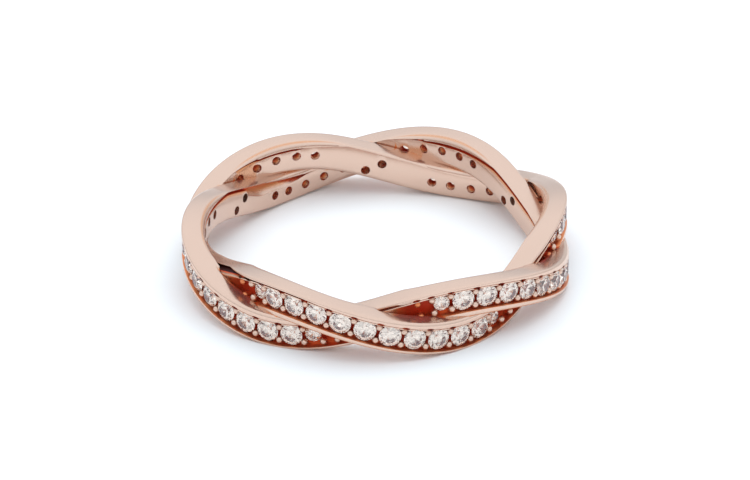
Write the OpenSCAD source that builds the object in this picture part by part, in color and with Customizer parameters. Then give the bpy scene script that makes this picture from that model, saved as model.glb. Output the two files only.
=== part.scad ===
// Ring of two strands that weave over and under each other round the finger.
// Each strand is a smooth rail above a channel of round stones. The channel
// is open where the strand passes outside and closes where it passes inside.
// The finger hole's axis is Z, the ring lies on its side with its lowest
// edges on Z = 0, and its front is towards -Y. Millimetres and degrees.

/* [Ring] */
// Diameter of the finger hole, where the strands come closest to the finger
finger_d = 16.5; // [15:0.1:19]

/* [Strands] */
// Thickness of a strand, measured out from the finger
strand_t = 1.25; // [1.1:0.05:1.8]
// How deep the strands are sunk into each other where they cross
cross_weld = 0.12; // [0.05:0.01:0.3]
// How far the strands overlap in height where they run side by side
side_weld = 0.06; // [0.03:0.01:0.3]
// Height of the rail's outer face, above the channel
rail_face = 0.28; // [0.2:0.01:0.6]
// Height of the wall below the channel
lower_wall = 0.2; // [0.16:0.01:0.6]
// Rounding of the edges next to the finger
finger_round = 0.34; // [0.1:0.01:0.4]
// Bevel of the rail's outer edge
rail_bevel = 0.14; // [0.05:0.01:0.18]
// Bevel of the lower outer edge
lower_bevel = 0.05; // [0.02:0.01:0.09]

/* [Stones] */
// Diameter of a stone
stone_d = 1.18; // [1:0.01:1.5]
// Diameter of a stone's table
table_d = 0.7; // [0.5:0.01:0.8]
// Height of a stone above its girdle
crown_h = 0.16; // [0.1:0.01:0.25]
// Thickness of a stone's girdle
girdle_h = 0.03; // [0.02:0.01:0.06]
// Depth of a stone below its girdle
pavilion_h = 0.46; // [0.35:0.01:0.55]
// Gap between two stones
stone_gap = 0.14; // [0.1:0.01:0.3]
// Size of the small stone at each end of a run, as a share of the others
end_scale = 0.72; // [0.6:0.01:0.8]
// How far the tables lie below the channel's rims
table_sink = 0.02; // [0:0.01:0.1]
// How far each row is moved along its channel
row_shift = 0.06; // [-0.3:0.01:0.3]
// How much farther the channels rise and fall than their strands
row_rise = 0.1; // [0.06:0.01:0.13]

/* [Channel and beads] */
// Gap between a stone and the channel's walls
side_gap = 0.07; // [0.05:0.01:0.2]
// Least gap between a stone and the other strand, where that one comes over it
cover_gap = 0.02; // [0.01:0.01:0.05]
// Gap between a stone and the edge of the hole behind it
seat_gap = 0.05; // [0.03:0.01:0.08]
// Diameter of the hole behind each stone
hole_d = 0.5; // [0.3:0.01:0.6]
// Empty channel past the last stone, at each end
end_free = 1.9; // [1.5:0.1:3]
// Length over which a channel runs out
channel_fade = 1.3; // [0.8:0.1:2]
// Solid strand between two channels
closed_l = 1; // [0.5:0.1:2]
// Diameter of a bead between the stones
bead_d = 0.36; // [0.2:0.01:0.38]
// Gap between a bead and the channel's wall
bead_gap = 0.03; // [0.02:0.01:0.06]
// How far the beads' tops lie below the channel's rims
bead_drop = 0.06; // [0.02:0.01:0.15]
// How much narrower a bead is at its top
bead_taper = 0.1; // [0.04:0.01:0.16]
// From the pair of beads past the last stone to one more pair
free_bead = 0.75; // [0.5:0.01:1]

/* [Hidden] */

// Waves that each strand makes in one turn
WAVES = 3;
// Steps from the last section of one run to the first of the next
PLAIN_STEPS = 6;
// Sides of a stone, a hole and a bead
STONE_SIDES = 8;
HOLE_SIDES = 6;
BEAD_SIDES = 6;
// Depth at which a channel counts as closed
SHUT = 0.01;
// How deep a bead's foot or a hole's mouth passes through the floor
JOIN = 0.05;

STRAND_A = 1;
STRAND_B = -1;

channel_w = stone_d + 2 * side_gap;
strand_h = rail_face + channel_w + lower_wall;
swing = (strand_t - cross_weld) / 2;
rise = (strand_h - side_weld) / 2;
mean_r = finger_d / 2 + strand_t / 2 + swing;
mid_z = rise + strand_h / 2;

// Section heights, counted from a strand's middle line
channel_top = strand_h / 2 - rail_face;
channel_low = channel_top - channel_w;
channel_mid = (channel_top + channel_low) / 2;

// Places across the strand's thickness, counted from its middle line
rim_x = strand_t / 2;
table_x = rim_x - table_sink;
girdle_x = table_x - crown_h;
culet_x = girdle_x - girdle_h - pavilion_h;
// The floor cuts the pavilion where it is a seat gap narrower than the hole
floor_x = culet_x + pavilion_h * (hole_d - 2 * seat_gap) / stone_d;
channel_depth = rim_x - floor_x;

// Lengths along the channel as angles, at the radius of the rims
rim_r = mean_r + rim_x;
function as_angle(l) = l / rim_r * 180 / PI;
channel_half = 180 / WAVES - as_angle(closed_l / 2);
pitch = stone_d + stone_gap;
stones_in_run = floor((channel_half - as_angle(end_free)) * 2 / as_angle(pitch));

// Places in a run, counted in pitches from its middle: the stones, which are small
// at the ends, and the pairs of beads between and past them
last_gap = stones_in_run / 2 - 1;
end_room = (stone_gap + end_scale * stone_d) / pitch;
function at_end(i) = i == 0 || i == stones_in_run - 1;
function stone_k(i) =
    let (k = i - (stones_in_run - 1) / 2) at_end(i) ? sign(k) * (last_gap + end_room / 2) : k;
bead_ks = concat(
    [for (i = [1 : stones_in_run - 1]) i - stones_in_run / 2],
    [for (way = [-1, 1], past = [0, free_bead / pitch]) way * (last_gap + end_room + past)]
);

// One strand's middle line, and how fast it moves outwards a radian
function radius(s, a) = mean_r + s * swing * sin(WAVES * a);
function height(s, a) = mid_z + s * rise * cos(WAVES * a);
function radius_slope(s, a) = s * WAVES * swing * cos(WAVES * a);

// How far a channel lies above its usual place, and the slope of its middle a radian
function row_lift(s, a) = s * row_rise * cos(WAVES * a);
function row_slope(s, a) = -s * WAVES * (rise + row_rise) * sin(WAVES * a);

// Millimetres that the row of girdles travels in a degree
function speed(s, a) =
    norm([radius_slope(s, a), radius(s, a) + girdle_x, row_slope(s, a)]) * PI / 180;
function step_on(s, a, l) = a + l / speed(s, a + l / speed(s, a) / 2);

// Angle of the place that lies k pitches from the middle of a run
function row_angle(s, middle, k) =
    abs(k) < 1
        ? step_on(s, middle, k * pitch + row_shift)
        : step_on(s, row_angle(s, middle, k - sign(k)), sign(k) * pitch);

// Middles of the runs in which a strand passes outside
function run_middles(s) = [for (i = [0 : WAVES - 1]) (s * 90 + 360 * i) / WAVES];

// Angle from the nearest run's middle, and a smooth step from 0 to 1
function from_run(s, a) = (((WAVES * a - s * 90) % 360 + 540) % 360 - 180) / WAVES;
function ease(x) = let (k = min(max(x, 0), 1)) k * k * (3 - 2 * k);
function channel_share(s, a) =
    ease((channel_half - abs(from_run(s, a))) / as_angle(channel_fade));

// A section at every stone, and a few where the strand has none
function run_place(s, middle, i) = row_angle(s, middle, stone_k(i));
function section_angles(s) = [
    for (middle = run_middles(s))
        let (
            last = run_place(s, middle, stones_in_run - 1),
            next = run_place(s, middle + 360 / WAVES, 0)
        )
        each concat(
            [for (i = [0 : stones_in_run - 1]) run_place(s, middle, i)],
            [for (i = [1 : PLAIN_STEPS - 1]) last + (next - last) * i / PLAIN_STEPS]
        )
];

// Section of a strand at one angle, as points out from and above its middle
function section(s, a) =
    let (
        t = strand_t / 2,
        h = strand_h / 2,
        c = finger_round,
        k = c * (1 - sqrt(0.5)),
        floor_at = rim_x - max(SHUT, channel_depth * channel_share(s, a)),
        low = channel_low + row_lift(s, a),
        top = channel_top + row_lift(s, a)
    )
    [
        [t, h - rail_bevel],
        [t - rail_bevel, h],
        [-t + c, h],
        [-t + k, h - k],
        [-t, h - c],
        [-t, -h + c],
        [-t + k, -h + k],
        [-t + c, -h],
        [t - lower_bevel, -h],
        [t, -h + lower_bevel],
        [t, low],
        [floor_at, low],
        [floor_at, top],
        [t, top]
    ];

// One strand as a closed sweep of its sections
module strand(s) {
    angles = section_angles(s);
    m = len(angles);
    n = len(section(s, 0));
    points = [
        for (a = angles)
            for (p = section(s, a))
                let (r = radius(s, a) + p[0])
                    [r * cos(a), r * sin(a), height(s, a) + p[1]]
    ];
    function at(i, j) = (i % m) * n + j % n;
    faces = [
        for (i = [0 : m - 1])
            for (j = [0 : n - 1])
                each [
                    [at(i, j), at(i, j + 1), at(i + 1, j + 1)],
                    [at(i, j), at(i + 1, j + 1), at(i + 1, j)]
                ]
    ];
    polyhedron(points, faces, convexity = 10);
}

// Puts its children on a channel's middle line, with X outwards and Y along
module on_strand(s, a) {
    climb = atan2(row_slope(s, a), norm([radius(s, a), radius_slope(s, a)]));
    turn = -atan2(radius_slope(s, a), radius(s, a));
    rotate([0, 0, a])
        translate([radius(s, a), 0, height(s, a) + channel_mid + row_lift(s, a)])
            rotate([climb, 0, turn])
                children();
}

// Puts its children at each stone, with the stone's size, and at each pair of beads
module each_stone(s) {
    for (middle = run_middles(s), i = [0 : stones_in_run - 1])
        on_strand(s, run_place(s, middle, i))
            let ($size = at_end(i) ? end_scale : 1)
                children();
}

module each_bead_pair(s) {
    for (middle = run_middles(s), k = bead_ks)
        on_strand(s, row_angle(s, middle, k))
            children();
}

// Round stone with a table, a crown and a pointed pavilion, its axis along X. A small
// one has its point where the others have it, so it sits in the same seat
module stone() {
    step = 360 / STONE_SIDES;
    function ring(x, d, turned) = [
        for (i = [0 : STONE_SIDES - 1])
            let (w = (i + turned) * step, r = $size * d / 2)
                [culet_x + $size * (x - culet_x), r * cos(w), r * sin(w)]
    ];
    points = concat(
        ring(table_x, table_d, 0.5),
        ring(girdle_x, stone_d, 0),
        ring(girdle_x - girdle_h, stone_d, 0),
        [[culet_x, 0, 0]]
    );
    n = STONE_SIDES;
    faces = concat(
        [[for (i = [n - 1 : -1 : 0]) i]],
        [
            for (i = [0 : n - 1])
                let (j = (i + 1) % n)
                    each [
                        [i, n + j, n + i],
                        [i, j, n + j],
                        [n + i, n + j, 2 * n + j],
                        [n + i, 2 * n + j, 2 * n + i],
                        [2 * n + i, 2 * n + j, 3 * n]
                    ]
        ]
    );
    polyhedron(points, faces);
}

// Holes from the finger to the stones, through both strands where the other covers one
module each_hole(s) {
    for (middle = run_middles(s), i = [0 : stones_in_run - 1])
        let (
            a = run_place(s, middle, i),
            covered = abs(height(s, a) - height(-s, a)) + hole_d / 2 < strand_h / 2,
            reach = rim_x + floor_x + 2 * JOIN + (covered ? 2 * swing : 0)
        )
            on_strand(s, a)
                translate([floor_x + JOIN - reach, 0, 0])
                    rotate([0, 90, 0])
                        cylinder(d = hole_d / cos(180 / HOLE_SIDES), h = reach, $fn = HOLE_SIDES);
}

// Room round a stone, which cuts the other strand where that one would touch it
module room() {
    reach = strand_t + 2 * swing;
    translate([floor_x + SHUT, 0, 0])
        rotate([0, 90, 0])
            cylinder(d = $size * stone_d + 2 * cover_gap, h = reach, $fn = STONE_SIDES);
}

// Bead that stands on the channel's floor, beside one of its walls
module bead(side) {
    foot_x = floor_x - JOIN;
    top_x = rim_x - bead_drop;
    translate([0, 0, side * (channel_w / 2 - bead_d / 2 - bead_gap)])
        rotate([0, 90, 0])
            hull() {
                translate([0, 0, foot_x - SHUT])
                    cylinder(d = bead_d, h = SHUT, $fn = BEAD_SIDES);
                translate([0, 0, top_x - SHUT])
                    cylinder(d = bead_d - bead_taper, h = SHUT, $fn = BEAD_SIDES);
            }
}

module band() {
    color([0.92, 0.76, 0.68])
        difference() {
            union() {
                for (s = [STRAND_A, STRAND_B]) {
                    strand(s);
                    each_bead_pair(s) {
                        bead(1);
                        bead(-1);
                    }
                }
            }
            for (s = [STRAND_A, STRAND_B]) {
                each_hole(s);
                each_stone(s) room();
            }
        }
}

module stone_row(s) {
    color([0.93, 0.94, 0.95]) each_stone(s) stone();
}

module stone_row_a() {
    stone_row(STRAND_A);
}

module stone_row_b() {
    stone_row(STRAND_B);
}

band();
stone_row_a();
stone_row_b();
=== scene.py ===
import math

import bmesh
import bpy
from mathutils import Matrix, Vector


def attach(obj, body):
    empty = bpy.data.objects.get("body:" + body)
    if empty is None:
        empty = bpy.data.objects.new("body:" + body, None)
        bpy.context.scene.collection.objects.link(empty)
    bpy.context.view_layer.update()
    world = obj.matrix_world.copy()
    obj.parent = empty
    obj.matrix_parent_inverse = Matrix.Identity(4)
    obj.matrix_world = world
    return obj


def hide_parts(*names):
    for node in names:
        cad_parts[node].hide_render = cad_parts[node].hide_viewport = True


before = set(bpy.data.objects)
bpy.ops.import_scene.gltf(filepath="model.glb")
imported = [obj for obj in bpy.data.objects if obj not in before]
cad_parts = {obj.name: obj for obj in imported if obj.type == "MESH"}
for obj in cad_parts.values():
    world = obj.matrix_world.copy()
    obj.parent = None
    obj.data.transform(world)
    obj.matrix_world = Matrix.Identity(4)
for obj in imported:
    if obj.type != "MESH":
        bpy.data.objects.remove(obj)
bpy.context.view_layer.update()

MM = 0.001

# Sizes of the solids, in millimetres
FINGER_D = 16.5
STRAND_T = 1.25
CROSS_WELD = 0.12
SIDE_WELD = 0.06
RAIL_FACE = 0.28
LOWER_WALL = 0.2
STONE_D = 1.18
TABLE_D = 0.7
CROWN_H = 0.16
GIRDLE_H = 0.03
PAVILION_H = 0.46
STONE_GAP = 0.14
END_SCALE = 0.72
TABLE_SINK = 0.02
ROW_SHIFT = 0.06
ROW_RISE = 0.1
SIDE_GAP = 0.07
COVER_GAP = 0.02
SEAT_GAP = 0.05
HOLE_D = 0.5
END_FREE = 1.9
CHANNEL_FADE = 1.3
CLOSED_L = 1.0
BEAD_D = 0.36
BEAD_GAP = 0.03
BEAD_DROP = 0.06
FREE_BEAD = 0.75
JOIN = 0.05
WAVES = 3
STRANDS = {"a": 1, "b": -1}

CHANNEL_W = STONE_D + 2 * SIDE_GAP
STRAND_H = RAIL_FACE + CHANNEL_W + LOWER_WALL
SWING = (STRAND_T - CROSS_WELD) / 2
RISE = (STRAND_H - SIDE_WELD) / 2
MEAN_R = FINGER_D / 2 + STRAND_T / 2 + SWING
MID_Z = RISE + STRAND_H / 2
CHANNEL_TOP = STRAND_H / 2 - RAIL_FACE
CHANNEL_LOW = CHANNEL_TOP - CHANNEL_W
CHANNEL_MID = (CHANNEL_TOP + CHANNEL_LOW) / 2
RIM_X = STRAND_T / 2
HALF_H = STRAND_H / 2
TABLE_X = RIM_X - TABLE_SINK
GIRDLE_X = TABLE_X - CROWN_H
CULET_X = GIRDLE_X - GIRDLE_H - PAVILION_H
FLOOR_X = CULET_X + PAVILION_H * (HOLE_D - 2 * SEAT_GAP) / STONE_D
RIM_R = MEAN_R + RIM_X
PITCH = STONE_D + STONE_GAP
CHANNEL_HALF = math.pi / WAVES - CLOSED_L / 2 / RIM_R
STONES_IN_RUN = math.floor((CHANNEL_HALF - END_FREE / RIM_R) * 2 / (PITCH / RIM_R))
LAST_GAP = STONES_IN_RUN / 2 - 1
END_ROOM = (STONE_GAP + END_SCALE * STONE_D) / PITCH

# What the solids leave out: rounded rails and the slots between rail and tray
TURN_STEPS = 360
HAIR = 0.001
MARGIN = 0.01
RAIL_ROUND = 0.15
FINGER_ROUND = 0.34
FOOT_ROUND = 0.06
SLOT_ROUND = 0.03
EDGE_ROUND = 0.02
TRAY_ROUND = 0.012
CROWNING = 0.03
CROWNING_OUT = 0.1
CROWNING_DOWN = 0.2
FLOOR_POINTS = (0.25, CHANNEL_MID, -0.35)
SLOT_DEEP = 0.3
SLOT_TOP = CHANNEL_TOP + 0.05
SLOT_LOW = CHANNEL_TOP - 0.005
SLOT_MID = (SLOT_TOP + SLOT_LOW) / 2
SLOT_NARROW = 0.2
SLOT_SHUT = 0.02
TRAY_TOP = CHANNEL_TOP - 0.06
INNER_DEEP = 0.3
INNER_TOP = 0.53
INNER_LOW = 0.4
INNER_MID = (INNER_TOP + INNER_LOW) / 2
INNER_DROP = 0.07
INNER_RISE = 0.33
THIN_RIM = 0.04
LIP_BACK = 0.5
SHELF_DROP = 0.2
CHANNEL_SHUT = 0.004 / (RIM_X - FLOOR_X)
CUT_L = 0.42
CUT_H = 0.13
CUT_DEEP = 0.25
CUT_DROP = 0.03
POCKET = 0.12
POCKET_LOW = -0.5
POCKET_REACH = 0.1
POINT_DROP = 0.04
BEAD_UP = 0.02
BEAD_WIDER = 0.01
BEAD_FOOT = 0.8
UPPER_BEAD_IN = 0.1
LOWER_BEAD_IN = 0.04

# The rail's way back and up from the tray, with True for the front left crossing
RETREAT = {True: 0.45, False: 0.1}
RAIL_CLIMB = {True: 0.8, False: 0.15}

# Places round the ring, in degrees from its right side
RIGHT_SIDE = 0
BACK_LEFT = 135
FRONT_LEFT = 210

# Depths of painted shade and painted reflection on the metal, in millimetres: the deeper, the
# redder and darker the painted shade
FULL_TINT = 0.6
SLOT_TINT = 0.5
DRAWN_LIP_TINT = 0.42
END_BEAD_TINT = 0.4
LIP_TINT = 0.24
RIGHT_SLOT_TINT = 0.22
TRAY_EDGE_TINT = 0.15
POCKET_TINT = 0.14
RIGHT_FACE_TINT = 0.12

# How many times faster than their real depth places deepen in painted shade
TOP_RATE = 2.5
SLOT_RATE = 8
WEDGE_RATE = 20
INNER_RATE = 10
SHELF_RATE = 0.9

# Where the painted shade begins and ends, in millimetres, and for the beads in degrees
BRIGHT_EDGE = 0.1
SLOT_TINT_BACK = -0.15
INNER_TINT_H = 0.136
SHELF_TINT_H = 0.06
FINGER_SIDE = -0.3
POCKET_TINT_LOW = -0.45
END_BEADS = -44

COOL_WHITE = (0.87, 0.94, 1)

# In the functions below, s is 1 on strand a and -1 on strand b, and a is the angle round the ring.
# Along a strand, at is in degrees from the middle of the nearest run, negative at its high end.
# Across a strand, u and w are millimetres outwards and upwards from its middle.


def radius(s, a):
    return MEAN_R + s * SWING * math.sin(WAVES * a)


def height(s, a):
    return MID_Z + s * RISE * math.cos(WAVES * a)


def radius_slope(s, a):
    return s * WAVES * SWING * math.cos(WAVES * a)


def row_lift(s, a):
    return s * ROW_RISE * math.cos(WAVES * a)


def row_slope(s, a):
    return -s * WAVES * (RISE + ROW_RISE) * math.sin(WAVES * a)


def speed(s, a):
    """Millimetres that the row of girdles travels in a radian."""
    return math.hypot(radius_slope(s, a), radius(s, a) + GIRDLE_X, row_slope(s, a))


def step_on(s, a, length):
    """Angle of the place that lies a length farther along the row of girdles."""
    return a + length / speed(s, a + length / speed(s, a) / 2)


def run_middles(s):
    return [(s * math.pi / 2 + math.tau * i) / WAVES for i in range(WAVES)]


def row_angle(s, middle, k):
    """Angle of the place that lies k pitches from the middle of a run."""
    way = 1 if k > 0 else -1
    a = step_on(s, middle, way * (abs(k) % 1) * PITCH + ROW_SHIFT)
    for _ in range(int(abs(k))):
        a = step_on(s, a, way * PITCH)
    return a


def from_run(s, a):
    """Angle from the middle of the nearest run; the strand's high end is negative."""
    turned = (WAVES * a - s * math.pi / 2 + math.pi) % math.tau
    return (turned - math.pi) / WAVES


def before_run(at):
    """Degrees from the middle of the run that comes next, for places before its high end."""
    return at - 360 / WAVES if at > 30 else at


def near(a, place, cosine=0.7):
    """True round a place on the ring, seen from above."""
    return math.cos(a - math.radians(place)) > cosine


def ease(x):
    k = min(max(x, 0), 1)
    return k * k * (3 - 2 * k)


def rising(x, start, over):
    """Turns softly from 0 at the start to 1 a little farther on."""
    return ease((x - start) / over)


def falling(x, end, over):
    """Turns softly from 1 a little before the end to 0."""
    return ease((end - x) / over)


def channel_share(s, a):
    """The channel is open along a run and closes at both its ends."""
    return falling(abs(from_run(s, a)), end=CHANNEL_HALF, over=CHANNEL_FADE / RIM_R)


def outer_slot_share(s, at):
    """The slot over the tray opens towards the strand's high end."""
    before = before_run(at)
    end = -12 if s > 0 else -46
    wide = falling(before, end, over=12) * rising(before, start=-80, over=6)
    return max(wide, SLOT_NARROW * falling(at, end=52, over=6))


def drawn_back(s, a):
    """True round the front left crossing, where strand a's rail draws back farthest."""
    return s > 0 and near(a, FRONT_LEFT)


def retreat_share(at):
    """How far the rail has drawn back from its tray, where it dives behind the other."""
    before = before_run(at)
    opening = min(max((-38 - before) / 19, 0), 1)
    return opening ** 2 * rising(before, start=-80, over=6)


def lip_share(at):
    """The channel's lower lip draws back at the strand's high end."""
    before = before_run(at)
    return falling(before, end=-38, over=6) * rising(before, start=-68, over=6)


def shelf_share(s, a):
    """At the back left a shelf slopes to the finger under strand b's inner slot."""
    if s > 0 or not near(a, BACK_LEFT, cosine=0.6):
        return 0
    at = math.degrees(from_run(s, a))
    return rising(at, start=22, over=14) * falling(at, end=56, over=10)


def slot_drop(s, at):
    """Strand b's inner slot is taller towards its high end."""
    if s > 0:
        return 0
    before = before_run(at)
    return INNER_DROP * falling(before, end=-16, over=12) * rising(before, start=-80, over=8)


def pocket_share(at):
    """The face next to the finger is set back near the middle of a run."""
    return rising(at, start=-17.5, over=1.5) * falling(at, end=8, over=4)


def at_right(s, a):
    """True round the right crossing, where strand a has no slot and is painted golden reflection
    in its place.
    """
    return s > 0 and near(a, RIGHT_SIDE)


def inner_slot_share(s, a, at):
    """The slot next to the finger is short on strand a and long on strand b."""
    if at_right(s, a):
        return 0
    if s > 0:
        return rising(at, start=-36, over=6) * falling(at, end=-3, over=6)
    return max(falling(at, end=-11, over=8), rising(at, start=20, over=8))


def inner_slot_rise(at):
    """The slot next to the finger lies higher on the strand near its ends."""
    rise = 0.25 * ((at + 27) / 20) ** 2 if at < 0 else max((at - 25) * 0.016, 0)
    return min(rise, INNER_RISE)


def on_strand(s, a):
    """Matrix that puts X outwards and Y along the channel's middle line."""
    climb = math.atan2(row_slope(s, a), math.hypot(radius(s, a), radius_slope(s, a)))
    turn = -math.atan2(radius_slope(s, a), radius(s, a))
    place = Vector((radius(s, a), 0, height(s, a) + CHANNEL_MID + row_lift(s, a)))
    return (
        Matrix.Rotation(a, 4, "Z")
        @ Matrix.Translation(place)
        @ Matrix.Rotation(turn, 4, "Z")
        @ Matrix.Rotation(climb, 4, "X")
    )


def stones(s):
    """Angle and size of every stone; the ends of a run have a small one."""
    found = []
    for middle in run_middles(s):
        for i in range(STONES_IN_RUN):
            k = i - (STONES_IN_RUN - 1) / 2
            last = abs(k) > LAST_GAP
            if last:
                k = math.copysign(LAST_GAP + END_ROOM / 2, k)
            found.append((row_angle(s, middle, k), END_SCALE if last else 1))
    return found


def bead_places(s):
    """Between the stones, past the last one, and one more pair farther out."""
    ends = [LAST_GAP + END_ROOM, LAST_GAP + END_ROOM + FREE_BEAD / PITCH]
    steps = [i - STONES_IN_RUN / 2 for i in range(1, STONES_IN_RUN)]
    steps += ends + [-k for k in ends]
    return [on_strand(s, row_angle(s, m, k)) for m in run_middles(s) for k in steps]


def corner(bm, u, w):
    """The section's corner nearest to a place out from and above its middle."""
    at = Vector((MEAN_R + u, 0, w))
    return min(bm.verts, key=lambda v: (v.co - at).length)


def round_corner(bm, u, w, size, steps):
    bmesh.ops.bevel(
        bm,
        geom=[corner(bm, u, w)],
        offset=size,
        offset_type="OFFSET",
        segments=steps,
        profile=0.5,
        affect="VERTICES",
        material=-1,
    )


def strand_section(bm):
    """Outline of a strand: rail, slot, tray with its channel, and the inner slot."""
    t, h = RIM_X, HALF_H
    rail = [
        (t, h),
        (t, SLOT_TOP),
        (t - SLOT_DEEP, SLOT_TOP),
        (t - SLOT_DEEP, SLOT_LOW),
        (t - THIN_RIM, SLOT_LOW),
        (t, SLOT_LOW),
    ]
    tray = [(t, TRAY_TOP), (FLOOR_X, TRAY_TOP)]
    tray += [(FLOOR_X, w) for w in FLOOR_POINTS]
    tray += [(FLOOR_X, CHANNEL_LOW), (t, CHANNEL_LOW), (t, -h)]
    finger_side = [
        (-t, -h),
        (-t, 0),
        (-t, INNER_LOW),
        (THIN_RIM - t, INNER_LOW),
        (INNER_DEEP - t, INNER_LOW),
        (INNER_DEEP - t, INNER_TOP),
        (-t, INNER_TOP),
        (-t, h),
    ]
    outline = rail + tray + finger_side
    bm.faces.new([bm.verts.new((MEAN_R + u, 0, w)) for u, w in outline])
    rounded = [
        (t, h, RAIL_ROUND, 6),
        (-t, h, FINGER_ROUND, 8),
        (-t, -h, FINGER_ROUND, 8),
        (t, -h, FOOT_ROUND, 3),
        (t, SLOT_TOP, SLOT_ROUND, 2),
        (t, SLOT_LOW, TRAY_ROUND, 1),
        (t, CHANNEL_LOW, EDGE_ROUND, 2),
        (-t, INNER_TOP, SLOT_ROUND, 2),
        (-t, INNER_LOW, EDGE_ROUND, 2),
    ]
    for u, w, size, steps in rounded:
        round_corner(bm, u, w, size, steps)
    top = [e for e in bm.edges if all(v.co.z > h - HAIR for v in e.verts)]
    bmesh.ops.subdivide_edges(bm, edges=top, cuts=5)
    for v in bm.verts:
        if v.co.z > h - RAIL_ROUND - CROWNING_DOWN:
            out = v.co.x - MEAN_R - CROWNING_OUT
            v.co.z -= CROWNING * (out / RIM_X) ** 2
    bmesh.ops.delete(bm, geom=bm.faces[:], context="FACES_ONLY")


def slots_opened(s, a, at, u, w):
    """Opens or closes the slots and the channel, and slopes the shelf."""
    in_slot = SLOT_LOW - TRAY_ROUND - HAIR < w < SLOT_TOP + HAIR
    in_tray = CHANNEL_LOW - HAIR < w < TRAY_TOP + HAIR
    in_inner = INNER_LOW - EDGE_ROUND - HAIR < w < INNER_TOP + EDGE_ROUND + HAIR
    if in_slot and u > RIM_X - SLOT_DEEP - MARGIN:
        share = max(SLOT_SHUT, outer_slot_share(s, at))
        u = RIM_X - (RIM_X - u) * share
        if w > SLOT_MID:
            w = SLOT_LOW + (SLOT_TOP - SLOT_LOW) * share
    elif in_tray and FLOOR_X - MARGIN < u < RIM_X - EDGE_ROUND - HAIR:
        u = RIM_X - (RIM_X - u) * max(CHANNEL_SHUT, channel_share(s, a))
    elif in_inner and u < INNER_DEEP - RIM_X + MARGIN:
        share = max(SLOT_SHUT, inner_slot_share(s, a, at))
        if w < INNER_LOW + HAIR:
            w -= SHELF_DROP * shelf_share(s, a) * (1 - (u + RIM_X) / INNER_DEEP)
            w -= slot_drop(s, at)
        w = INNER_MID + (w - INNER_MID) * share
        u = -RIM_X + (u + RIM_X) * share
    return u, w


def form_lift(s, a, at, u, w):
    """How far slots and channel lie above their usual height; the strand's edges stay."""
    if w > SLOT_TOP:
        mask = (HALF_H - w) / (HALF_H - SLOT_TOP)
    elif w < CHANNEL_LOW:
        mask = (HALF_H + w) / (HALF_H + CHANNEL_LOW)
    else:
        mask = 1
    outward = rising(u, start=-0.3, over=0.5)
    lift = row_lift(s, a) * max(mask, 0) * outward
    if w > INNER_LOW - HAIR - slot_drop(s, at) and u < 0:
        rise = inner_slot_rise(at) * min((HALF_H - w) / (HALF_H - INNER_TOP), 1)
        lift += rise * (1 - outward)
    return lift


def edges_drawn_back(s, a, at, u, w):
    """Draws the rail and the lower lip back, and sinks the pocket next to the finger."""
    if w > SLOT_MID:
        far = drawn_back(s, a)
        climb = RAIL_CLIMB[far] * retreat_share(at) * rising(u, start=-0.2, over=0.5)
        w = HALF_H - (HALF_H - w) * (1 - climb)
        u -= RETREAT[far] * retreat_share(at) * rising(u, start=-0.45, over=1)
    elif w < CHANNEL_LOW + HAIR and u > 0:
        u -= LIP_BACK * lip_share(at) * rising(u, start=0, over=0.5)
    if POCKET_LOW < w < INNER_TOP + SLOT_ROUND and u < POCKET_REACH - RIM_X:
        u += POCKET * pocket_share(at)
    return u, w


def weave(bm, s):
    """Moves a plain hoop's vertices to where the strand's waves carry them."""
    for v in bm.verts:
        a = math.atan2(v.co.y, v.co.x)
        at = math.degrees(from_run(s, a))
        u, w = slots_opened(s, a, at, math.hypot(v.co.x, v.co.y) - MEAN_R, v.co.z)
        lift = form_lift(s, a, at, u, w)
        u, w = edges_drawn_back(s, a, at, u, w)
        w += lift
        r = radius(s, a) + u
        v.co = Vector((r * math.cos(a), r * math.sin(a), height(s, a) + w))


def put(bm, name):
    """A new object from a bmesh in millimetres."""
    bmesh.ops.scale(bm, vec=(MM, MM, MM), verts=bm.verts)
    mesh = bpy.data.meshes.new(name)
    bm.to_mesh(mesh)
    bm.free()
    obj = bpy.data.objects.new(name, mesh)
    bpy.context.scene.collection.objects.link(obj)
    return obj


def strand(s, name):
    """One strand as a closed sweep of its outline."""
    bm = bmesh.new()
    strand_section(bm)
    bmesh.ops.spin(
        bm,
        geom=bm.verts[:] + bm.edges[:],
        cent=(0, 0, 0),
        axis=(0, 0, 1),
        angle=math.tau,
        steps=TURN_STEPS,
        use_merge=True,
        use_normal_flip=False,
        use_duplicate=False,
    )
    bmesh.ops.remove_doubles(bm, verts=bm.verts, dist=HAIR / 2)
    weave(bm, s)
    bmesh.ops.recalc_face_normals(bm, faces=bm.faces)
    return put(bm, name)


def rod(bm, d, low, high, sides, place):
    """A closed cylinder along X from low to high, then set in its place."""
    lie = Matrix.Translation(((low + high) / 2, 0, 0)) @ Matrix.Rotation(math.pi / 2, 4, "Y")
    bmesh.ops.create_cone(
        bm,
        cap_ends=True,
        segments=sides,
        radius1=d / 2,
        radius2=d / 2,
        depth=high - low,
        matrix=place @ lie,
    )


def hole_cutters(s, name):
    """Rods for the holes behind the stones, through both strands where the other covers one."""
    bm = bmesh.new()
    high = FLOOR_X + JOIN
    for a, _ in stones(s):
        covered = abs(height(s, a) - height(-s, a)) + HOLE_D / 2 < HALF_H
        reach = RIM_X + FLOOR_X + 2 * JOIN + (2 * SWING if covered else 0)
        rod(bm, HOLE_D, high - reach, high, 24, on_strand(s, a))
    return put(bm, name)


def room_cutters(s, name):
    """Rods for the room round the stones, which the other strand leaves free."""
    bm = bmesh.new()
    for a, size in stones(s):
        room = size * STONE_D + 2 * COVER_GAP
        rod(bm, room, FLOOR_X + MARGIN, RIM_X + 2 * SWING, 32, on_strand(s, a))
    return put(bm, name)


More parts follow.
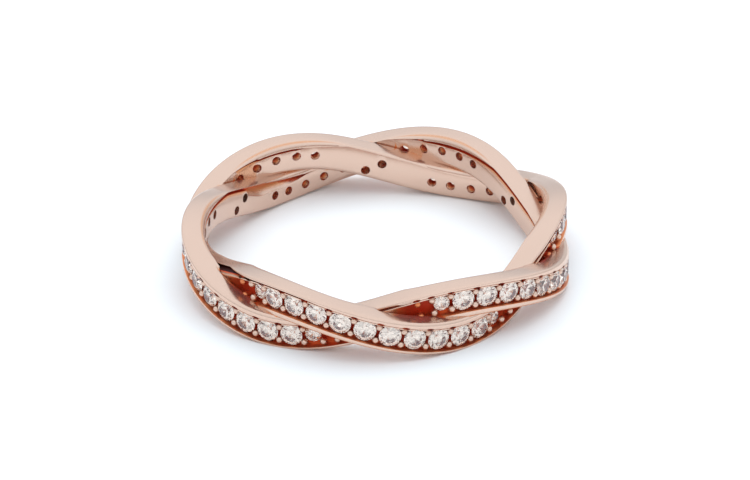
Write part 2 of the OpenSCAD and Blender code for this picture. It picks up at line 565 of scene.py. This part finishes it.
def graver_cuts(s, name):
    """Short cuts in the channel's upper rim, one over each bead."""
    bm = bmesh.new()
    rise = Matrix.Translation((0, 0, CHANNEL_W / 2 - CUT_DROP))
    for place in bead_places(s):
        shape = place @ rise @ Matrix.Diagonal((1, CUT_L, CUT_H, 1))
        rod(bm, 1, RIM_X - CUT_DEEP, RIM_X + JOIN, 12, shape)
    return put(bm, name)


def join(obj, others):
    """Applies unions and differences, and removes the objects that were used."""
    for how, other in others:
        cut = obj.modifiers.new(how, "BOOLEAN")
        cut.operation = how
        cut.solver = "MANIFOLD"
        cut.object = other
    graph = bpy.context.evaluated_depsgraph_get()
    mesh = bpy.data.meshes.new_from_object(obj.evaluated_get(graph))
    obj.modifiers.clear()
    obj.data = mesh
    for _, other in others:
        bpy.data.objects.remove(other)


def smooth(obj, degrees):
    for p in obj.data.polygons:
        p.use_smooth = True
    obj.data.set_sharp_from_angle(angle=math.radians(degrees))


def painted_shade_depth(s, a, u, w):
    """How deep a place on one strand counts for its painted shade and painted reflection, in
    millimetres.
    """
    depth = min(RIM_X - abs(u), TOP_RATE * (HALF_H - abs(w)))
    if depth < 0:
        return 0
    at = math.degrees(from_run(s, a))
    row = w - row_lift(s, a)
    far = drawn_back(s, a)
    climb = (HALF_H - SLOT_TOP) * RAIL_CLIMB[far] * retreat_share(at)
    rail = RIM_X - RETREAT[far] * retreat_share(at)
    # The slot over the tray is painted dark red shade, fullest in the wedge at the front left
    # crossing
    if u > SLOT_TINT_BACK and SLOT_LOW - MARGIN < row < SLOT_TOP + climb + HAIR:
        over = row > (SLOT_LOW + SLOT_TOP + climb) / 2
        inside = max((rail if over else RIM_X) - u, 0)
        # Round the right crossing strand b's slot is painted golden reflection in place of dark
        # shade
        if s < 0 and near(a, RIGHT_SIDE):
            return min(inside, RIGHT_SLOT_TINT)
        if far and retreat_share(at) > 0.02:
            return min(inside * WEDGE_RATE, FULL_TINT)
        return min(inside * SLOT_RATE, SLOT_TINT)
    if u > 0 and row > SLOT_TOP + climb:
        return max(rail - u, 0) if HALF_H - w > BRIGHT_EDGE else 0
    # The tray's edge and the lower lip get a fixed painted reflection, golden to orange
    if u > RIM_X - EDGE_ROUND and row > TRAY_TOP - MARGIN:
        return TRAY_EDGE_TINT
    if u > 0 and row < CHANNEL_LOW + MARGIN:
        return DRAWN_LIP_TINT if lip_share(at) > 0.1 else LIP_TINT
    inner = inner_slot_rise(at) + INNER_LOW
    inside = max(u + RIM_X - POCKET * pocket_share(at), 0)
    # The slot next to the finger and its shelf are painted dark red shade
    if u < 0 and inner - slot_drop(s, at) - MARGIN < w < inner + INNER_TINT_H:
        if w < inner + SHELF_TINT_H and shelf_share(s, a) > 0.1:
            return min(inside * SHELF_RATE, SLOT_TINT)
        if not at_right(s, a):
            return min(inside * INNER_RATE, SLOT_TINT)
    # Round the right crossing the face next to the finger is painted golden reflection
    if u < FINGER_SIDE and at_right(s, a):
        painted_light = RIGHT_FACE_TINT * rising(at, start=-48, over=14) * falling(at, end=-10, over=14)
        return max(depth, painted_light)
    # The pocket next to the finger is painted golden reflection
    if u < FINGER_SIDE and POCKET_TINT_LOW < w <= inner:
        return max(depth, POCKET_TINT * pocket_share(at))
    return depth


def paint_crease_shade(obj, full=FULL_TINT, beads_of=0):
    """Stores each vertex's depth for its painted shade, from 0 to 1 where it reaches the full one.
    """
    mark = obj.data.attributes.new("crease", "FLOAT", "POINT")
    for v in obj.data.vertices:
        a = math.atan2(v.co.y, v.co.x)
        r = math.hypot(v.co.x, v.co.y) / MM
        z = v.co.z / MM
        depths = [painted_shade_depth(s, a, r - radius(s, a), z - height(s, a)) for s in (1, -1)]
        # Beads at a run's high end are painted darker, as painted shade
        if beads_of and math.degrees(from_run(beads_of, a)) < END_BEADS:
            depths.append(END_BEAD_TINT)
        mark.data[v.index].value = min(max(depths) / full, 1)


def bead(bm, place):
    """A round bead on a short foot."""
    top = RIM_X - BEAD_DROP + BEAD_UP
    r = BEAD_D / 2 + BEAD_WIDER
    lie = Matrix.Translation((top - r, 0, 0)) @ Matrix.Rotation(math.pi / 2, 4, "Y")
    bmesh.ops.create_uvsphere(bm, u_segments=12, v_segments=8, radius=r, matrix=place @ lie)
    rod(bm, BEAD_D * BEAD_FOOT, FLOOR_X - 2 * MARGIN, top - r, 10, place)


def bead_row(s, name):
    """Pairs of beads across the channels of one strand."""
    bm = bmesh.new()
    off = CHANNEL_W / 2 - BEAD_D / 2 - BEAD_GAP
    for place in bead_places(s):
        for across in (off - UPPER_BEAD_IN, LOWER_BEAD_IN - off):
            bead(bm, place @ Matrix.Translation((0, 0, across)))
    return put(bm, name)


def facet(bm, tilt, turn, point):
    """Cuts a stone with a plane whose normal is tilted from X and turned round it."""
    normal = Vector((
        math.cos(tilt),
        math.sin(tilt) * math.cos(turn),
        math.sin(tilt) * math.sin(turn),
    ))
    cut = bmesh.ops.bisect_plane(
        bm,
        geom=bm.verts[:] + bm.edges[:] + bm.faces[:],
        dist=1e-6,
        plane_co=point,
        plane_no=normal,
        clear_outer=True,
    )
    rim = [e for e in cut["geom_cut"] if isinstance(e, bmesh.types.BMEdge)]
    if len(rim) > 2:
        bmesh.ops.contextual_create(bm, geom=rim)


def facets(bm, tilt, turned, count, x, out):
    """Facets all round a stone, turned by a share of one, each through a point at x and out."""
    for i in range(count):
        turn = (i + turned) * math.tau / count
        facet(bm, tilt, turn, Vector((x, out * math.cos(turn), out * math.sin(turn))))


def brilliant(bm):
    """Round brilliant cut along X: table, stars, kites, girdle facets and pavilion."""
    r = STONE_D / 2
    point = CULET_X - POINT_DROP
    rod(bm, STONE_D, point, TABLE_X, 32, Matrix.Identity(4))
    kite = math.atan2(CROWN_H, r - TABLE_D / 2 * 0.93)
    main = math.pi - math.atan2(PAVILION_H + POINT_DROP, r)
    eighth = math.tau / 8
    halves_out = r * math.cos(eighth / 4)
    # Upper half, from the girdle to the table
    facets(bm, kite, 0, 8, GIRDLE_X, r)
    facets(bm, kite + math.radians(8), 0.5, 16, GIRDLE_X, halves_out)
    facets(bm, kite - math.radians(12), 0.5, 8, TABLE_X, TABLE_D / 2 * math.cos(eighth / 2))
    # Lower half, from the girdle to the point
    facets(bm, main, 0, 8, point, 0)
    facets(bm, main - math.radians(3), 0.5, 16, GIRDLE_X - GIRDLE_H, halves_out)


def stone_row(s, name):
    """The stones of one strand, each a copy of one cut shape."""
    one = bmesh.new()
    brilliant(one)
    bmesh.ops.recalc_face_normals(one, faces=one.faces)
    shape = bpy.data.meshes.new("cut stone")
    one.to_mesh(shape)
    one.free()
    bm = bmesh.new()
    culet = Matrix.Translation((CULET_X, 0, 0))
    for a, size in stones(s):
        place = on_strand(s, a) @ culet @ Matrix.Scale(size, 4) @ culet.inverted()
        shape.transform(place)
        bm.from_mesh(shape)
        shape.transform(place.inverted())
    bpy.data.meshes.remove(shape)
    return put(bm, name)


class Shade:
    """A value of a material; sums on it add Math nodes."""

    def __init__(self, finish, socket):
        self.finish = finish
        self.socket = socket

    def sum(self, how, first, second):
        return self.finish.add("ShaderNodeMath", {"operation": how}, {0: first, 1: second})

    def __add__(self, other):
        return self.sum("ADD", self, other)

    __radd__ = __add__

    def __mul__(self, other):
        return self.sum("MULTIPLY", self, other)

    __rmul__ = __mul__


class Finish:
    """A material or the studio's sky, put together node by node."""

    def __init__(self, kept):
        kept.use_nodes = True
        self.kept = kept
        self.tree = kept.node_tree
        self.tree.nodes.clear()

    def add(self, kind, settings=None, values=None, out=0):
        """A node with its settings, then the values or links of its sockets."""
        node = self.tree.nodes.new(kind)
        for name, value in (settings or {}).items():
            if name == "stops":
                ramp = node.color_ramp.elements
                while len(ramp) < len(value):
                    ramp.new(1)
                for stop, (at, colour) in zip(ramp, value):
                    stop.position = at
                    stop.color = colour
            else:
                setattr(node, name, value)
        for name, value in (values or {}).items():
            if isinstance(value, Shade):
                self.tree.links.new(value.socket, node.inputs[name])
            else:
                node.inputs[name].default_value = value
        return Shade(self, node.outputs[out]) if node.outputs else None

    def colour_mix(self, share, first, second, how="MIX"):
        settings = {"data_type": "RGBA", "blend_type": how}
        return self.add("ShaderNodeMix", settings, {0: share, 6: first, 7: second}, out=2)

    def ramp(self, value, stops):
        return self.add("ShaderNodeValToRGB", {"stops": stops}, {"Fac": value})

    def noise(self, place, size, detail=2.0):
        """Noise whose patches are about size millimetres across."""
        values = {"Vector": place, "Scale": 1 / (size * MM), "Detail": detail}
        return self.add("ShaderNodeTexNoise", {}, values)

    def done(self, shader, kind="ShaderNodeOutputMaterial"):
        self.add(kind, {}, {"Surface": shader})
        return self.kept


def rose_gold():
    """Polished gold that is painted orange, red and dark in its creases, as painted shade and
    painted reflection.
    """
    f = Finish(bpy.data.materials.new("polished rose gold"))
    place = f.add("ShaderNodeTexCoord", out="Object")
    # Each vertex's painted shade, stored by its depth in the metal
    crease = f.add("ShaderNodeAttribute", {"attribute_name": "crease"}, out="Fac")
    cloud = f.noise(place, size=2.5)
    grain = f.noise(place, size=0.12, detail=3.0)
    soft = f.noise(place, size=0.9, detail=1.0)
    pale = f.colour_mix(cloud, (0.72, 0.515, 0.415, 1), (0.7, 0.49, 0.39, 1))
    painted_light_stops = [
        (0.12, (1, 1, 1, 1)),
        (0.3, (1, 0.64, 0.37, 1)),
        (0.52, (1, 0.26, 0.1, 1)),
        (0.88, (0.64, 0.05, 0.018, 1)),
        (0.93, (0.04, 0.004, 0.003, 1)),
    ]
    # Deep creases turn from metal to dull paint, so their painted shade shows dark red from every
    # side
    metal_stops = [(0.35, (0.92, 0.92, 0.92, 1)), (0.8, (0.08, 0.08, 0.08, 1))]
    # Painted shade and painted reflection: golden, then orange, red and dark with depth
    painted_light = f.ramp(crease * (0.94 + 0.12 * soft), painted_light_stops)
    bump = f.add(
        "ShaderNodeBump",
        {},
        {"Strength": 0.12, "Distance": 0.004 * MM, "Height": grain + 3 * soft},
    )
    shader = f.add(
        "ShaderNodeBsdfPrincipled",
        {},
        {
            "Base Color": f.colour_mix(1.0, pale, painted_light, "MULTIPLY"),
            "Metallic": f.ramp(crease, metal_stops),
            "Roughness": 0.18 + 0.05 * grain + 0.04 * cloud + 0.2 * crease,
            "Specular IOR Level": 0.12,
            "Normal": bump,
        },
    )
    return f.done(shader)


def clear_stone():
    f = Finish(bpy.data.materials.new("cut clear stone"))
    place = f.add("ShaderNodeTexCoord", out="Object")
    cloud = f.noise(place, size=0.5)
    shader = f.add(
        "ShaderNodeBsdfPrincipled",
        {},
        {
            "Base Color": f.colour_mix(cloud, (0.82, 0.69, 0.6, 1), (0.77, 0.645, 0.555, 1)),
            "Metallic": 0.0,
            "Roughness": 0.004 * cloud,
            "IOR": 2.16,
            "Transmission Weight": 1.0,
        },
    )
    return f.done(shader)


def floor_paint():
    f = Finish(bpy.data.materials.new("pale floor"))
    place = f.add("ShaderNodeTexCoord", out="Object")
    cloud = f.noise(place, size=60)
    colour = f.colour_mix(cloud, (0.91, 0.905, 0.9, 1), (0.92, 0.915, 0.91, 1))
    shader = f.add(
        "ShaderNodeBsdfPrincipled",
        {},
        {"Base Color": colour, "Roughness": 0.7, "Specular IOR Level": 0.1},
    )
    return f.done(shader)


def studio_sky():
    """Cool white overhead and greyer towards the horizon."""
    f = Finish(bpy.data.worlds.new("studio"))
    way = f.add("ShaderNodeTexCoord", out="Generated")
    rise = f.add("ShaderNodeSeparateXYZ", {}, {"Vector": way}, out="Z")
    stops = [
        (0.0, (0.435, 0.47, 0.5, 1)),
        (0.35, (0.765, 0.827, 0.88, 1)),
        (0.7, (*COOL_WHITE, 1)),
    ]
    shade = f.ramp(rise, stops)
    glow = f.add("ShaderNodeBackground", {}, {"Color": shade, "Strength": 1.28})
    return f.done(glow, "ShaderNodeOutputWorld")


def soft_light(name, place, size, power):
    """A round lamp that points at the ring and leaves no glint on it."""
    light = bpy.data.objects.new(name, bpy.data.lights.new(name, "AREA"))
    light.data.shape = "DISK"
    light.data.size = size
    light.data.energy = power
    light.data.color = COOL_WHITE
    light.visible_glossy = False
    at = Vector(place)
    light.matrix_world = Matrix.Translation(at) @ at.to_track_quat("Z", "Y").to_matrix().to_4x4()
    bpy.context.scene.collection.objects.link(light)


# The camera looks down on the front
ELEVATION = math.radians(27.885)
ROLL = math.radians(-0.644)
DISTANCE = 326.63
back = Vector((0, -math.cos(ELEVATION), math.sin(ELEVATION)))
right = Vector((1, 0, 0))
up = Vector((0, math.sin(ELEVATION), math.cos(ELEVATION)))
right_rolled = right * math.cos(ROLL) + up * math.sin(ROLL)
up_rolled = up * math.cos(ROLL) - right * math.sin(ROLL)
camera = bpy.data.objects.new("camera", bpy.data.cameras.new("camera"))
stand = (Vector((0, 0, MID_Z)) + back * DISTANCE) * MM
turn = Matrix((right_rolled, up_rolled, back)).transposed().to_4x4()
camera.matrix_world = Matrix.Translation(stand) @ turn
camera.data.sensor_width = 36
camera.data.lens = 296.3
camera.data.shift_x = -0.0004
camera.data.shift_y = -0.0032
camera.data.clip_start = 0.01
camera.data.clip_end = 20
bpy.context.scene.collection.objects.link(camera)
bpy.context.scene.camera = camera

# The metal
gold = rose_gold()
band = strand(1, "band_polished")
cuts = [("UNION", strand(-1, "strand_b_shape"))]
for letter, side in STRANDS.items():
    cuts.append(("DIFFERENCE", room_cutters(side, "rooms_" + letter)))
    cuts.append(("DIFFERENCE", hole_cutters(side, "holes_" + letter)))
    cuts.append(("DIFFERENCE", graver_cuts(side, "cuts_" + letter)))
join(band, cuts)
smooth(band, 35)
# Paints shade into the band's creases, slots and holes by their depth
paint_crease_shade(band)
band.data.materials.clear()
band.data.materials.append(gold)
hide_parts("band")
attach(band, "root")

for letter, side in STRANDS.items():
    beads = bead_row(side, "beads_" + letter)
    smooth(beads, 50)
    # Paints shade onto the beads, darkest at a run's high end
    paint_crease_shade(beads, full=1.0, beads_of=side)
    beads.data.materials.append(gold)
    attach(beads, "root")

# The stones
clear = clear_stone()
for letter, side in STRANDS.items():
    row = stone_row(side, "brilliants_" + letter)
    row.data.materials.append(clear)
    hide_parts("stone_row_" + letter)
    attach(row, "root")

# Floor and light
bm = bmesh.new()
bmesh.ops.create_grid(bm, x_segments=1, y_segments=1, size=600)
floor = put(bm, "floor")
floor.data.materials.append(floor_paint())
bpy.context.scene.world = studio_sky()
soft_light("soft light above", (0.04, 0.24, 0.42), size=1.0, power=1.7)

scene = bpy.context.scene
scene.view_settings.view_transform = "Standard"
scene.cycles.max_bounces = 24
scene.cycles.glossy_bounces = 20
scene.cycles.transmission_bounces = 16
